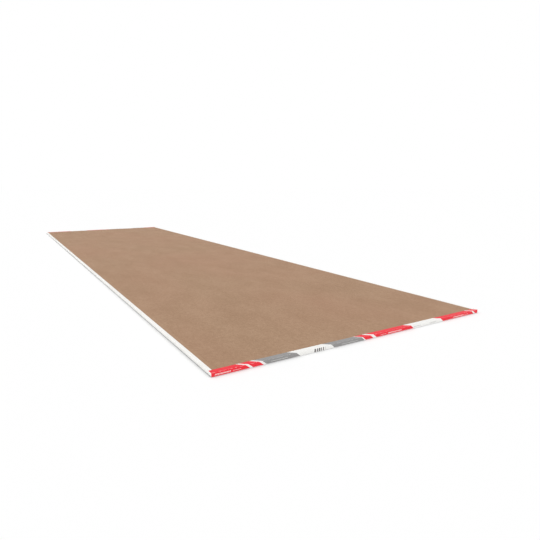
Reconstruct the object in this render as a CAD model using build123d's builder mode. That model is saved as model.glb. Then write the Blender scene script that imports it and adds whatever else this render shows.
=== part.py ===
"""One sheet of gypsum wallboard, lying flat with its back up.

The recessed face is underneath and the long edges run along Y. The origin is on the floor under
the middle of the sheet. All lengths are millimetres.
"""

import os

from build123d import *

# Overall size of the sheet, papers included and end tapes left out
sheet_width = 1219.2
sheet_length = 4267.2
sheet_thickness = 12.7

# Recess that is pressed into the face along both long edges
taper_width = 57.0
taper_depth = 1.9
taper_bend_radius = 600.0

# Corners where the face paper is folded round the long edges
face_corner_radius = 1.6
back_corner_radius = 1.0

# Brown paper glued over the back, which leaves a strip of the folded face paper bare
back_paper_thickness = 0.3
bare_lap_width = 12.0

# Paper tape glued over each end and lapped onto the back
tape_thickness = 0.2
tape_lap = 19.0
tape_side_inset = 1.0
tape_floor_clearance = 0.3

half_width = sheet_width / 2
half_length = sheet_length / 2
half_flat = half_width - taper_width
board_top = sheet_thickness - back_paper_thickness
tape_top = sheet_thickness + tape_thickness
tape_outside = half_length + tape_thickness

with BuildPart() as board:
    with BuildSketch(Plane.XZ):
        with BuildLine():
            Polyline(
                (-half_width, taper_depth),
                (-half_flat, 0),
                (half_flat, 0),
                (half_width, taper_depth),
                (half_width, board_top),
                (-half_width, board_top),
                close=True,
            )
        make_face()
        taper_starts, face_corners, back_corners = vertices().group_by(Axis.Y)
        fillet(taper_starts, taper_bend_radius)
        fillet(face_corners, face_corner_radius)
        fillet(back_corners, back_corner_radius)
    extrude(amount=half_length, both=True)

with BuildPart() as back_paper:
    with BuildSketch(Plane.XY.offset(board_top)):
        Rectangle(sheet_width - 2 * bare_lap_width, sheet_length)
    extrude(amount=back_paper_thickness)

# The fold follows the sheet's sharp upper edge, so only the outside of the tape is rounded
with BuildPart() as near_end_tape:
    with BuildSketch(Plane.YZ):
        with BuildLine():
            Polyline(
                (-half_length, tape_floor_clearance),
                (-half_length, sheet_thickness),
                (-half_length + tape_lap, sheet_thickness),
                (-half_length + tape_lap, tape_top),
                (-tape_outside, tape_top),
                (-tape_outside, tape_floor_clearance),
                close=True,
            )
        make_face()
        fold = vertices().group_by(Axis.Y)[-1].sort_by(Axis.X)[0]
        fillet(fold, tape_thickness)
    extrude(amount=half_width - tape_side_inset, both=True)

with BuildPart() as far_end_tape:
    mirror(near_end_tape.part, about=Plane.XZ)

os.makedirs("parts", exist_ok=True)

board.part.label = "board"
export_step(board.part, "parts/board.step")

back_paper.part.label = "back_paper"
export_step(back_paper.part, "parts/back_paper.step")

near_end_tape.part.label = "near_end_tape"
export_step(near_end_tape.part, "parts/near_end_tape.step")

far_end_tape.part.label = "far_end_tape"
export_step(far_end_tape.part, "parts/far_end_tape.step")
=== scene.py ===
"""The looks of one gypsum wallboard sheet, lying on a pale floor with its brown back up."""

import math

import bmesh
import bpy
import numpy as np
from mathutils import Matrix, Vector, noise


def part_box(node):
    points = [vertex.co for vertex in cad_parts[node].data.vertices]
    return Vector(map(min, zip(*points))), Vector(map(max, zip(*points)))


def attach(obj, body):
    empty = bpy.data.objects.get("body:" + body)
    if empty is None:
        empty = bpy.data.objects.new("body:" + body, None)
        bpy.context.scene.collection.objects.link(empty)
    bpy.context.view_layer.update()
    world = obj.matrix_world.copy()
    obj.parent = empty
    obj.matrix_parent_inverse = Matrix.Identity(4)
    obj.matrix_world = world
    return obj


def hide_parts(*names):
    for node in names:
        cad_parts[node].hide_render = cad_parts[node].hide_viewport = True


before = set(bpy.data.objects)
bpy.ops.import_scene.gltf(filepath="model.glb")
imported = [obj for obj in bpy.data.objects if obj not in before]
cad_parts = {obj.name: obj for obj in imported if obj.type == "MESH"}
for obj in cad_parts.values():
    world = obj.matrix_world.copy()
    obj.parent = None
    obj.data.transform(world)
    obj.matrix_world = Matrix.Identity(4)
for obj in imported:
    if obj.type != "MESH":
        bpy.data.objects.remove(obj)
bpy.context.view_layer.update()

MM = 0.001

# Where the CAD pieces lie, in metres
board_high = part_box("board")[1]
paper_low, paper_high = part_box("back_paper")
tape_low, tape_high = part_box("near_end_tape")
half_width = board_high.x
half_length = board_high.y
board_top = board_high.z
back_top = paper_high.z
tape_thickness = tape_high.z - back_top
tape_lap = tape_high.y + half_length

# The long edges, as the CAD profile has them
taper_width = 57 * MM
taper_depth = 1.9 * MM
taper_bend_radius = 600 * MM
face_corner_radius = 1.6 * MM
back_corner_radius = 1.0 * MM

# Score lines in the face paper, and how far the long edges wander off a straight line
crease_depth = 0.15 * MM
crease_width = 0.7 * MM
edge_wander = 0.2 * MM
edge_wander_reach = 25 * MM
edge_long_wave = 500 * MM
edge_short_wave = 110 * MM

# The brown paper's cut edges wander, and it swells a little where nothing holds it flat
kraft_edge_wander = 0.5 * MM
kraft_edge_wave = 350 * MM
kraft_swell = 0.1 * MM
kraft_broad_swell = (190 * MM, 320 * MM)
kraft_fine_swell = (50 * MM, 90 * MM)
kraft_flat_by_tape = 60 * MM
kraft_flat_by_edge = 15 * MM

# The tape's slit edge wanders, and the tape swells and wrinkles
slit_wander = 0.25 * MM
slit_wander_reach = 2 * MM
slit_long_wave = 30 * MM
slit_short_wave = 6 * MM
slit_lowest = 0.05 * MM
tape_swell = 0.07 * MM
tape_swell_size = (60 * MM, 12 * MM)
wrinkle_count = 46

# How the tape steps down beside the brown paper, where only the board is under it
step_down_share = 0.85
step_down_across = 5 * MM
step_down_along = 3 * MM

# Spacing of the points that the meshes are swept through, and the angle above which their edges
# stay sharp
station_step = 20 * MM
tape_station_step = 2.5 * MM
tape_upright_step = 0.9 * MM
tape_lap_step = 1.2 * MM
sharp_angle = 40

# How the fibres of all the papers curl
fibre_curl = 1.6

# Where the board's folded paper ends under the brown paper, measured in from its edge
hidden_lap = 13 * MM
hidden_lap_blur = 1 * MM

# The floor, darkened close to the sheet by painted contact shade, and how bright the room is
floor_reach = 60.0
floor_glow = 0.08
contact_reach = 30 * MM
painted_contact_shade = {"From Min": 0.15, "From Max": 0.9, "To Min": 0.3}
room_light = 0.55

# The camera stands where the photograph's did, measured from the sheet's near left corner
photo_side = 540
focal_pixels = 432.3
middle_pixel = (257.2, 287.1)
camera_from_corner = (-0.458, -1.015, 0.518)
camera_heading = 30.88
camera_dip = 13.27
sensor_width = 36.0


def linear(red, green, blue):
    """An sRGB colour of 0 to 255 as Blender's linear colour."""
    def channel(value):
        share = value / 255
        return share / 12.92 if share <= 0.04045 else ((share + 0.055) / 1.055) ** 2.4

    return (channel(red), channel(green), channel(blue), 1.0)


KRAFT = linear(165, 133, 106)
KRAFT_DARK = linear(148, 117, 91)
KRAFT_LIGHT = linear(181, 150, 123)
KRAFT_ROSY = linear(171, 130, 106)
KRAFT_SPECK = linear(104, 80, 58)
FACE_PAPER = linear(247, 246, 243)
FACE_PAPER_SHADE = linear(238, 236, 231)
FACE_PAPER_FLECK = linear(198, 192, 180)
INK_RED = linear(238, 54, 66)
INK_GREY = linear(150, 148, 147)
INK_TICK = linear(116, 111, 110)
TAPE_WHITE = linear(245, 244, 241)
FLOOR = linear(243, 243, 243)
BLACK = (0.0, 0.0, 0.0, 1.0)
WHITE = (1.0, 1.0, 1.0, 1.0)

# The tape's printed bars, from its left end: where each starts along the fold, in millimetres,
# and its ink
BARS = (
    (-40, INK_RED),
    (108, TAPE_WHITE),
    (117, INK_RED),
    (153, TAPE_WHITE),
    (163, INK_GREY),
    (289, TAPE_WHITE),
    (428, INK_GREY),
    (559, TAPE_WHITE),
    (566, INK_RED),
    (603, TAPE_WHITE),
    (615, INK_RED),
    (807, TAPE_WHITE),
    (980, INK_RED),
    (1176, TAPE_WHITE),
    (1185, INK_RED),
    (1221, TAPE_WHITE),
    (1230, INK_GREY),
)
bars_start = -40 * MM
bars_length = 1320 * MM
bar_slant = 1.24
ink_bleed = 0.6 * MM
white_bar_middle = 885 * MM
white_bar_reach = 70 * MM

# A group of upright ticks on a white bar: shares of the group's length where white and ink
# start in turn
TICK_EDGES = (0.0, 0.02, 0.16, 0.24, 0.34, 0.4, 0.52, 0.58, 0.66, 0.76, 0.84, 0.98)
tick_start = 359 * MM
tick_group = 47 * MM
tick_top = 11 * MM

# Plain leaning strokes and dashes at half the height of the end: where each row of them starts
# and ends, in millimetres from the tape's left end, and the size and strength of its marks
STROKE_ROWS = ((2, 55), (685, 753), (1054, 1117))
STROKES = {"foot": 3.7, "head": 7.6, "pitch": 4.6, "share": 0.6, "lean": -0.45, "strength": 0.9}
DASH_ROWS = ((62, 88), (192, 256), (472, 546), (648, 680), (820, 865), (908, 950), (1123, 1153))
DASHES = {"foot": 4.8, "head": 6.2, "pitch": 3.4, "share": 0.72, "lean": 0.0, "strength": 0.75}


# Shapes


def ripple(across, along=0.0, *, seed):
    """Smooth noise between -1 and 1, with features about one unit across."""
    return noise.noise(Vector((across, along, seed)))


def ease(distance, reach):
    """0 at no distance, 1 from the reach on, and even between the two."""
    return min(1.0, max(0.0, distance / reach))


def arc(centre, radius, start, end, steps):
    """Points along an arc, both ends included, with its angles in degrees."""
    angles = [math.radians(start + (end - start) * i / steps) for i in range(steps + 1)]
    return [(centre[0] + radius * math.cos(a), centre[1] + radius * math.sin(a)) for a in angles]


def spread(low, high, step):
    """Evenly spaced places from low to high, about step apart."""
    count = max(2, round((high - low) / step) + 1)
    return [float(place) for place in np.linspace(low, high, count)]


def sweep(name, rings):
    """A closed mesh through rings of points that all have as many points, with flat ends."""
    count = len(rings[0])
    points = [point for ring in rings for point in ring]
    faces = [tuple(range(count)), tuple(range(len(points) - count, len(points)))]
    for here in range(0, len(points) - count, count):
        for i in range(count):
            after = (i + 1) % count
            faces.append((here + i, here + after, here + count + after, here + count + i))
    mesh = bpy.data.meshes.new(name)
    mesh.from_pydata(points, [], faces)
    shape = bmesh.new()
    shape.from_mesh(mesh)
    bmesh.ops.recalc_face_normals(shape, faces=shape.faces)
    shape.to_mesh(mesh)
    shape.free()
    mesh.shade_smooth()
    mesh.set_sharp_from_angle(angle=math.radians(sharp_angle))
    piece = bpy.data.objects.new(name, mesh)
    bpy.context.scene.collection.objects.link(piece)
    return piece


def dress(piece, node, material):
    """The piece stands for a CAD node, which it hides, rides on the root body and wears the
    material.
    """
    piece.data.materials.append(material)
    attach(piece, "root")
    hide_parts(node)


# The board, which is the face paper round the gypsum core


def crease(height):
    """A folded score line in the face paper, on the upright part of a long edge."""
    return [
        (half_width, height - crease_width / 2),
        (half_width - crease_depth, height),
        (half_width, height + crease_width / 2),
    ]


def half_profile():
    """The board's outline on the +X side, from the middle of the face to the middle of the back."""
    slope = math.degrees(math.atan2(taper_depth, taper_width))
    rise = taper_depth / taper_width
    bend_run = taper_bend_radius * math.tan(math.radians(slope / 2))
    bend_start = half_width - taper_width - bend_run
    corner_run = face_corner_radius * math.tan(math.radians(90 - slope) / 2)
    edge_foot = taper_depth + corner_run
    edge_head = board_top - back_corner_radius
    bend_centre = (bend_start, taper_bend_radius)
    face_corner = (half_width - face_corner_radius, edge_foot)
    back_corner = (half_width - back_corner_radius, edge_head)
    rows_before_bend = (bend_start / 2, bend_start - 5 * MM)
    rows_in_recess = (30 * MM, 10 * MM, 3 * MM)
    rows_on_back = (half_width - 2 * MM, paper_high.x - 10 * MM, 0.0)

    outline = [(0.0, 0.0), *[(x, 0.0) for x in rows_before_bend]]
    outline += arc(bend_centre, taper_bend_radius, -90, -90 + slope, steps=6)
    outline += [(half_width - run, taper_depth - run * rise) for run in rows_in_recess]
    outline += arc(face_corner, face_corner_radius, -90 + slope, 0, steps=8)
    outline += crease(edge_foot + crease_width)
    outline += crease(edge_head - crease_width)
    outline += arc(back_corner, back_corner_radius, 0, 90, steps=7)
    outline += [(x, board_top) for x in rows_on_back]
    return outline


def build_board():
    """The board, with long edges that wander a little."""
    right = half_profile()
    left = right[-2:0:-1]
    rings = []
    for y in spread(-half_length, half_length, station_step):
        ring = []
        for side, outline in ((1, right), (-1, left)):
            wave = ripple(y / edge_long_wave, seed=side)
            wave += 0.4 * ripple(y / edge_short_wave, seed=side + 7.3)
            for x, z in outline:
                near_edge = 1 - ease(half_width - x, edge_wander_reach)
                ring.append((side * (x + edge_wander * wave * near_edge), y, z))
        rings.append(ring)
    return sweep("wallboard", rings)


# The brown paper over the back


def build_back_paper():
    """The brown paper, flat by the tapes and edges and a little wavy between them."""
    shares = spread(-1, 1, station_step / paper_high.x)
    broad_across, broad_along = kraft_broad_swell
    fine_across, fine_along = kraft_fine_swell
    rings = []
    for y in spread(-half_length, half_length, station_step):
        left = paper_low.x + kraft_edge_wander * ripple(y / kraft_edge_wave, seed=11.1)
        right = paper_high.x + kraft_edge_wander * ripple(y / kraft_edge_wave, seed=17.9)
        clear_of_tape = ease(half_length - abs(y), kraft_flat_by_tape)
        top = []
        for share in shares:
            x = (left + right) / 2 + share * (right - left) / 2
            clear_of_edge = ease(paper_high.x - abs(x), kraft_flat_by_edge)
            swell = ripple(x / broad_across, y / broad_along, seed=2.2)
            swell += 0.5 * ripple(x / fine_across, y / fine_along, seed=5.5)
            top.append((x, y, back_top + kraft_swell * clear_of_tape * clear_of_edge * swell))
        rings.append([(left, y, board_top), (right, y, board_top), *reversed(top)])
    return sweep("kraft_back", rings)


# The end tapes


def fold_path():
    """The tape's inner side, from its slit edge up the end and onto the back.

    Each entry is how far it lies back from the end, its height, the angle that it faces above
    the horizon, and how far along the paper it is.
    """
    upright = [(0.0, z, 0, z) for z in spread(tape_low.z, back_top, tape_upright_step)]
    fold = [(0.0, back_top, angle, back_top) for angle in (15, 30, 45, 60, 75)]
    lap = [(back, back_top, 90, back_top + back) for back in spread(0.0, tape_lap, tape_lap_step)]
    return upright + fold + lap


def wrinkle_field(seed):
    """How far small slanted wrinkles lift the tape, as a function of a place on the paper."""
    chance = np.random.default_rng(seed)
    ridges = [
        {
            "across": chance.uniform(tape_low.x + 20 * MM, tape_high.x - 20 * MM),
            "along": chance.uniform(2 * MM, back_top + tape_lap),
            "lean": chance.uniform(-1.4, 1.4),
            "height": chance.uniform(0.08, 0.3) * MM,
            "width": chance.uniform(0.8, 2.2) * MM,
            "reach": chance.uniform(3, 9) * MM,
        }
        for _ in range(wrinkle_count)
    ]

    def lift(across, along):
        total = 0.0
        for ridge in ridges:
            past = along - ridge["along"]
            aside = across - ridge["across"] - ridge["lean"] * past
            if abs(aside) < 4 * ridge["width"]:
                fade = math.exp(-((past / ridge["reach"]) ** 2))
                total += ridge["height"] * fade * math.exp(-((aside / ridge["width"]) ** 2))
        return total

    return lift


def build_tape(name, side, seed):
    """The tape over one end, where side is -1 for the near end and 1 for the far one."""
    path = fold_path()
    wrinkles = wrinkle_field(seed)
    swell_across, swell_along = tape_swell_size
    rings = []
    printed = []
    for x in spread(tape_low.x, tape_high.x, tape_station_step):
        from_left = x - tape_low.x if side < 0 else tape_high.x - x
        slit = ripple(x / slit_long_wave, seed=seed)
        slit += 0.6 * ripple(x / slit_short_wave, seed=seed + 4.4)
        past_kraft = ease(abs(x) - paper_high.x, step_down_across)
        step_down = step_down_share * past_kraft * (back_top - board_top)
        inner, outer, places = [], [], []
        for back, height, angle, along in path:
            swell = 1 + ripple(x / swell_across, along / swell_along, seed=seed + 9.1)
            lift = wrinkles(x, along) + tape_swell * swell
            by_slit = 1 - ease(height - tape_low.z, slit_wander_reach)
            foot = max(slit_lowest, height + slit_wander * slit * by_slit)
            out, up = math.cos(math.radians(angle)), math.sin(math.radians(angle))
            lowered = foot - step_down * up * ease(back, step_down_along)
            for points, push in ((inner, lift), (outer, lift + tape_thickness)):
                points.append((x, side * (half_length - back + push * out), lowered + push * up))
            places.append((from_left, along, 0.0))
        rings.append([*inner, *reversed(outer)])
        printed += [*places, *reversed(places)]
    piece = sweep(name, rings)
    place = piece.data.attributes.new("print_place", "FLOAT_VECTOR", "POINT")
    place.data.foreach_set("vector", np.array(printed, np.float32).ravel())
    return piece


# Materials


def feed(tree, socket, value):
    """Links a socket to the input, or sets the input to a plain value."""
    if isinstance(value, bpy.types.NodeSocket):
        tree.links.new(value, socket)
    else:
        socket.default_value = value


def add_node(tree, kind, inputs=(), **settings):
    """A node with these settings, whose inputs are linked or set to plain values."""
    node = tree.nodes.new(kind)
    for key, value in settings.items():
        setattr(node, key, value)
    for key, value in dict(inputs).items():
        feed(tree, node.inputs[key], value)
    return node


def calc(tree, operation, *values):
    """A maths node on sockets or numbers, and its output socket."""
    inputs = dict(enumerate(values))
    return add_node(tree, "ShaderNodeMath", inputs, operation=operation).outputs[0]


class Paint:
    """A node material, and short calls that add nodes to it and return their output socket.

    Sizes given to the calls are in millimetres.
    """

    def __init__(self, name):
        self.material = bpy.data.materials.new(name)
        self.material.use_nodes = True
        self.tree = self.material.node_tree
        self.shader = self.tree.nodes["Principled BSDF"]
        self.place = self.add("ShaderNodeTexCoord").outputs["Object"]

    def add(self, kind, inputs=(), **settings):
        return add_node(self.tree, kind, inputs, **settings)

    def calc(self, operation, *values):
        return calc(self.tree, operation, *values)

    def finish(self, **inputs):
        """Sets the shader's inputs, whose names have _ for each space."""
        for key, value in inputs.items():
            feed(self.tree, self.shader.inputs[key.replace("_", " ")], value)
        return self.material

    def stretched(self, size, turn=0.0):
        """Places counted in features of this size along X, Y and Z, turned about Z."""
        rotation = (0, 0, math.radians(turn))
        turned = self.add("ShaderNodeMapping", {"Vector": self.place, "Rotation": rotation})
        counts = tuple(1 / (length * MM) for length in size)
        inputs = {"Vector": turned.outputs[0], "Scale": counts}
        return self.add("ShaderNodeMapping", inputs).outputs[0]

    def grain(self, size, detail=2.0, turn=0.0, harshness=0.5, curl=0.0):
        """Noise of about 0 to 1 whose features have this size along X, Y and Z."""
        inputs = {
            "Vector": self.stretched(size, turn),
            "Scale": 1.0,
            "Detail": detail,
            "Roughness": harshness,
            "Distortion": curl,
        }
        return self.add("ShaderNodeTexNoise", inputs).outputs[0]

    def fibres(self, width, length, turns):
        """Curled fibres of this width and length, lying at these angles to the sheet's length."""
        size = (width, length, width)
        return [self.grain(size, detail=1, turn=turn, curl=fibre_curl) for turn in turns]

    def specks(self, spacing, radius, share):
        """Round specks of 0 to 1, spacing apart before all but that share of them are dropped."""
        inputs = {"Vector": self.stretched((spacing, spacing, spacing)), "Scale": 1.0}
        cells = self.add("ShaderNodeTexVoronoi", inputs)
        rim = radius / spacing
        dot = self.between(cells.outputs["Distance"], rim, 0.6 * rim)
        kept = self.calc("LESS_THAN", self.split(cells.outputs["Color"], 0), share)
        return self.calc("MULTIPLY", dot, kept)

    def split(self, vector, part):
        """One part of a vector, counted from 0."""
        return self.add("ShaderNodeSeparateXYZ", {"Vector": vector}).outputs[part]

    def between(self, value, low, high, start=0.0, end=1.0):
        """The value moved from the range low to high to the range start to end, and held there."""
        inputs = {"Value": value, "From Min": low, "From Max": high, "To Min": start, "To Max": end}
        return self.add("ShaderNodeMapRange", inputs).outputs[0]

    def gather(self, *parts):
        """A half plus each value's distance from a half, times how much that value counts."""
        total = 0.5 - sum(weight for _, weight in parts) / 2
        for value, weight in parts:
            total = self.calc("MULTIPLY_ADD", value, weight, total)
        return total

    def mix(self, share, first, second, **settings):
        """The first colour with that share of the second over it."""
        inputs = {"Fac": share, "Color1": first, "Color2": second}
        return self.add("ShaderNodeMixRGB", inputs, **settings).outputs[0]

    def ramp(self, value, stops, hard=False):
        """Colours from (place, colour) stops, as hard bands or blended."""
        node = self.add("ShaderNodeValToRGB", {"Fac": value})
        node.color_ramp.interpolation = "CONSTANT" if hard else "LINEAR"
        elements = node.color_ramp.elements
        for i, (place, colour) in enumerate(stops):
            element = elements[i] if i < 2 else elements.new(place)
            element.position = place
            element.color = colour
        return node.outputs[0]

    def marks(self, across, along, rows, foot, head, pitch, share, lean, strength):
        """That strength on leaning marks, a pitch apart, that fill some rows, and 0 elsewhere."""
        stops = [(0.0, BLACK)]
        for start, end in rows:
            stops += [(start * MM / bars_length, WHITE), (end * MM / bars_length, BLACK)]
        count = self.calc("DIVIDE", self.calc("MULTIPLY_ADD", along, lean, across), pitch * MM)
        whole = self.calc("FLOOR", count)
        in_row = self.ramp(self.calc("MULTIPLY", whole, pitch * MM / bars_length), stops, hard=True)
        in_mark = self.calc("LESS_THAN", self.calc("SUBTRACT", count, whole), share)
        in_height = self.calc("COMPARE", along, (foot + head) / 2 * MM, (head - foot) / 2 * MM)
        inside = self.calc("MULTIPLY", self.calc("MULTIPLY", in_row, in_mark), in_height)
        return self.calc("MULTIPLY", inside, strength)

    def bump(self, height, distance, below=None):
        """The surface with this much relief, on top of another relief if one is given."""
        inputs = {"Height": height, "Distance": distance * MM, "Strength": 1.0}
        if below is not None:
            inputs["Normal"] = below
        return self.add("ShaderNodeBump", inputs).outputs[0]


def kraft_material():
    """Brown kraft paper: cloudy pulp, streaks from the paper machine, fibres and bark specks."""
    paint = Paint("kraft_paper")
    clouds = paint.grain((120, 200, 120), detail=4)
    pulp = paint.grain((9, 12, 9), detail=5, harshness=0.7)
    streaks = paint.grain((30, 1800, 30))
    fibres = paint.fibres(0.7, 4, (4, 29, -24, 61, -68))
    tone = paint.gather((clouds, 0.45), (pulp, 0.9), (streaks, 0.15), *[(f, 0.65) for f in fibres])
    colour = paint.ramp(tone, [(0.15, KRAFT_DARK), (0.5, KRAFT), (0.85, KRAFT_LIGHT)])
    rosy = paint.between(paint.grain((600, 900, 600)), 0.35, 0.65, end=0.35)
    colour = paint.mix(rosy, colour, KRAFT_ROSY)
    scuffs = paint.between(paint.grain((3, 300, 3), detail=3), 0.66, 0.84, end=0.3)
    colour = paint.mix(scuffs, colour, KRAFT_LIGHT)
    for specks in (paint.specks(11, 0.8, share=0.3), paint.specks(50, 2, share=0.25)):
        colour = paint.mix(paint.calc("MULTIPLY", specks, 0.6), colour, KRAFT_SPECK)

    from_middle = paint.calc("ABSOLUTE", paint.split(paint.place, 0))
    lap_edge = paper_high.x - hidden_lap
    lap_blur = (lap_edge - hidden_lap_blur, lap_edge + hidden_lap_blur)
    over_lap = paint.between(from_middle, *lap_blur, end=0.22)
    colour = paint.mix(over_lap, colour, KRAFT_LIGHT)

    relief = paint.bump(pulp, 0.25)
    relief = paint.bump(paint.gather(*[(f, 0.55) for f in fibres]), 0.06, relief)
    return paint.finish(
        Base_Color=colour,
        Roughness=paint.between(tone, 0.2, 0.8, 0.88, 0.72),
        Specular_IOR_Level=0.25,
        Normal=relief,
    )


def face_material():
    """Pale face paper: fine grain along the sheet, faint clouds and few fibre flecks."""
    paint = Paint("face_paper")
    clouds = paint.grain((100, 250, 100), detail=4)
    pulp = paint.grain((6, 9, 6), detail=4, harshness=0.6)
    fibres = paint.fibres(0.6, 4, (3, -29, 52))
    tone = paint.gather((clouds, 0.9), (pulp, 0.8), *[(f, 0.4) for f in fibres])
    colour = paint.ramp(tone, [(0.2, FACE_PAPER_SHADE), (0.6, FACE_PAPER)])
    flecks = paint.calc("MULTIPLY", paint.specks(14, 0.6, share=0.3), 0.6)
    colour = paint.mix(flecks, colour, FACE_PAPER_FLECK)
    relief = paint.bump(paint.gather((pulp, 0.8), *[(f, 0.35) for f in fibres]), 0.12)
    return paint.finish(
        Base_Color=colour,
        Roughness=paint.between(tone, 0.2, 0.8, 0.74, 0.6),
        Specular_IOR_Level=0.4,
        Normal=relief,
    )


def print_bars(paint, from_left, along, bleed):
    """The slanted bars, with edges that the ink has bled over."""
    slanted = paint.calc("MULTIPLY_ADD", along, bar_slant, from_left)
    slanted = paint.calc("SUBTRACT", slanted, bar_slant * back_top)
    ragged = paint.calc("MULTIPLY_ADD", bleed, ink_bleed, slanted)
    place = paint.between(ragged, bars_start, bars_start + bars_length)
    stops = [((start * MM - bars_start) / bars_length, ink) for start, ink in BARS]
    return paint.ramp(place, stops, hard=True)


def print_ticks(paint, colour, from_left, along):
    """The colour with the group of upright ticks over it."""
    place = paint.between(from_left, tick_start, tick_start + tick_group)
    inks = (TAPE_WHITE, INK_TICK)
    stops = [(edge, inks[i % 2]) for i, edge in enumerate(TICK_EDGES)]
    ticks = paint.ramp(place, stops, hard=True)
    in_group = paint.calc("COMPARE", from_left, tick_start + tick_group / 2, tick_group / 2)
    in_height = paint.calc("LESS_THAN", along, tick_top)
    return paint.mix(paint.calc("MULTIPLY", in_group, in_height), colour, ticks)


def print_marks(paint, colour, from_left, along, bleed):
    """The colour with pale strokes and dashes over it, where dashes on the white bar are dark."""
    ragged = paint.calc("MULTIPLY_ADD", bleed, ink_bleed, from_left)
    strokes = paint.marks(ragged, along, STROKE_ROWS, **STROKES)
    colour = paint.mix(strokes, colour, TAPE_WHITE)
    dashes = paint.marks(ragged, along, DASH_ROWS, **DASHES)
    on_white = paint.calc("COMPARE", from_left, white_bar_middle, white_bar_reach)
    return paint.mix(dashes, colour, paint.mix(on_white, TAPE_WHITE, INK_TICK))


def rub_off(paint, colour, along):
    """The colour with ink rubbed off in patches at the fold, and missing at the slit edge."""
    from_fold = paint.calc("ABSOLUTE", paint.calc("SUBTRACT", along, back_top))
    near_fold = paint.between(from_fold, 0.1 * MM, 1.4 * MM, 0.2, -0.2)
    patches = paint.grain((7, 1.8, 1.8), detail=5, harshness=0.65)
    rubbed = paint.between(paint.calc("ADD", patches, near_fold), 0.66, 0.8, end=0.6)
    colour = paint.mix(rubbed, colour, TAPE_WHITE)
    at_slit = paint.between(along, 0.9 * MM, 0.4 * MM, end=0.7)
    return paint.mix(at_slit, colour, TAPE_WHITE)


def tape_material():
    """Printed paper tape: bars, ticks, strokes and dashes, in ink that is rubbed here and there.

    The mesh holds each point's place on the print: how far it is from the tape's left end, and
    how far along the paper it is, counted from the slit edge.
    """
    paint = Paint("printed_tape")
    printed = paint.add("ShaderNodeAttribute", attribute_name="print_place").outputs["Vector"]
    from_left = paint.split(printed, 0)
    along = paint.split(printed, 1)
    bleed = paint.grain((0.5, 0.5, 0.5))
    pulp = paint.grain((4, 4, 4), detail=4, harshness=0.65)
    fibres = paint.grain((4, 0.5, 0.5), detail=1, curl=fibre_curl)

    colour = print_bars(paint, from_left, along, bleed)
    colour = print_ticks(paint, colour, from_left, along)
    colour = print_marks(paint, colour, from_left, along, bleed)
    uneven = paint.between(paint.gather((pulp, 1.2), (fibres, 0.6)), 0.2, 0.8, 0.93, 1.03)
    colour = paint.mix(1.0, colour, uneven, blend_type="MULTIPLY")
    colour = rub_off(paint, colour, along)
    return paint.finish(
        Base_Color=colour,
        Roughness=paint.between(pulp, 0.3, 0.7, 0.62, 0.48),
        Specular_IOR_Level=0.2,
        Normal=paint.bump(paint.gather((pulp, 0.8), (fibres, 0.5)), 0.1),
    )


# Floor, light and camera


def camera_light(tree, strength):
    """Strength for what the camera, glossy surfaces and glass see, and 0 for the light itself."""
    path = tree.nodes.new("ShaderNodeLightPath").outputs
    seen = calc(tree, "MAXIMUM", path["Is Camera Ray"], path["Is Glossy Ray"])
    seen = calc(tree, "MAXIMUM", seen, path["Is Transmission Ray"])
    return calc(tree, "MULTIPLY", seen, strength)


def floor_material():
    """A matte floor that glows a little to the camera, with painted contact shade that dims both
    close to the sheet.
    """
    material = bpy.data.materials.new("floor")
    material.use_nodes = True
    tree = material.node_tree
    tree.nodes.clear()
    # Painted contact shade: ambient occlusion darkens the floor's colour and glow close to the
    # sheet
    openness = add_node(tree, "ShaderNodeAmbientOcclusion", {"Distance": contact_reach}, samples=8)
    inputs = {"Value": openness.outputs["AO"], **painted_contact_shade}
    painted_shade_share = add_node(tree, "ShaderNodeMapRange", inputs).outputs[0]
    inputs = {0: FLOOR[:3], "Scale": painted_shade_share}
    shade = add_node(tree, "ShaderNodeVectorMath", inputs, operation="SCALE").outputs[0]
    matte = add_node(tree, "ShaderNodeBsdfDiffuse", {"Color": shade}).outputs[0]
    strength = calc(tree, "MULTIPLY", camera_light(tree, floor_glow), painted_shade_share)
    glow = add_node(tree, "ShaderNodeEmission", {"Strength": strength}).outputs[0]
    both = add_node(tree, "ShaderNodeAddShader", {0: matte, 1: glow}).outputs[0]
    add_node(tree, "ShaderNodeOutputMaterial", {"Surface": both})
    return material


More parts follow.
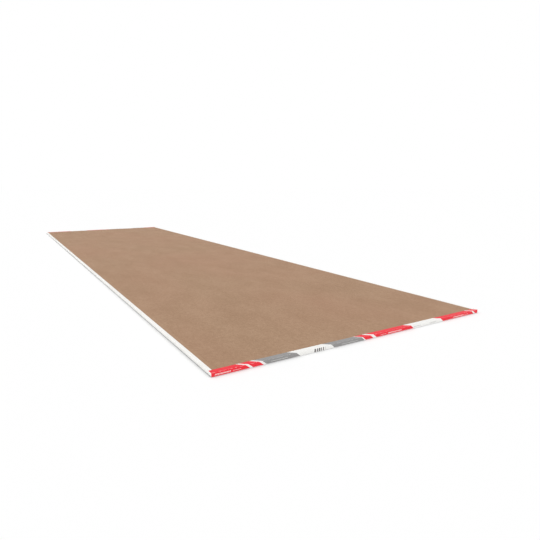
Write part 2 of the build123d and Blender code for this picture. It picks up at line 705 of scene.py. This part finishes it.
def build_floor():
    """A pale floor that meets the white background and keeps the sheet's shadow."""
    mesh = bpy.data.meshes.new("floor")
    signs = ((-1, -1), (1, -1), (1, 1), (-1, 1))
    mesh.from_pydata([(x * floor_reach, y * floor_reach, 0) for x, y in signs], [], [(0, 1, 2, 3)])
    mesh.materials.append(floor_material())
    floor = bpy.data.objects.new("floor", mesh)
    bpy.context.scene.collection.objects.link(floor)


def build_world():
    """Even white light from all round, and a pure white background."""
    world = bpy.data.worlds.new("studio")
    world.use_nodes = True
    tree = world.node_tree
    background = tree.nodes["Background"]
    strength = calc(tree, "ADD", camera_light(tree, 1 - room_light), room_light)
    feed(tree, background.inputs["Color"], WHITE)
    feed(tree, background.inputs["Strength"], strength)
    bpy.context.scene.world = world


def soft_lamp(name, heading, height, strength, softness):
    """A broad lamp that shines from a heading, clockwise from +Y, and a height above the floor."""
    light = bpy.data.lights.new(name, "SUN")
    light.energy = strength
    light.angle = math.radians(softness)
    lamp = bpy.data.objects.new(name, light)
    lamp.rotation_euler = (math.radians(90 - height), 0, math.radians(180 - heading))
    bpy.context.scene.collection.objects.link(lamp)


def build_camera():
    """The photograph's camera."""
    data = bpy.data.cameras.new("camera")
    data.sensor_width = sensor_width
    data.lens = sensor_width * focal_pixels / photo_side
    data.shift_x = (photo_side / 2 - middle_pixel[0]) / photo_side
    data.shift_y = (middle_pixel[1] - photo_side / 2) / photo_side
    data.clip_end = 200
    camera = bpy.data.objects.new("camera", data)
    corner = Vector((-half_width, -half_length, 0))
    camera.location = corner + Vector(camera_from_corner)
    camera.rotation_euler = (math.radians(90 - camera_dip), 0, math.radians(-camera_heading))
    bpy.context.scene.collection.objects.link(camera)
    bpy.context.scene.camera = camera


tape_paint = tape_material()
dress(build_board(), "board", face_material())
dress(build_back_paper(), "back_paper", kraft_material())
dress(build_tape("near_tape", -1, seed=21), "near_end_tape", tape_paint)
dress(build_tape("far_tape", 1, seed=34), "far_end_tape", tape_paint)

build_floor()
build_world()
soft_lamp("key_lamp", heading=211, height=46, strength=1.48, softness=35)
soft_lamp("fill_lamp", heading=290, height=55, strength=0.52, softness=50)
build_camera()
bpy.context.scene.view_settings.view_transform = "Standard"
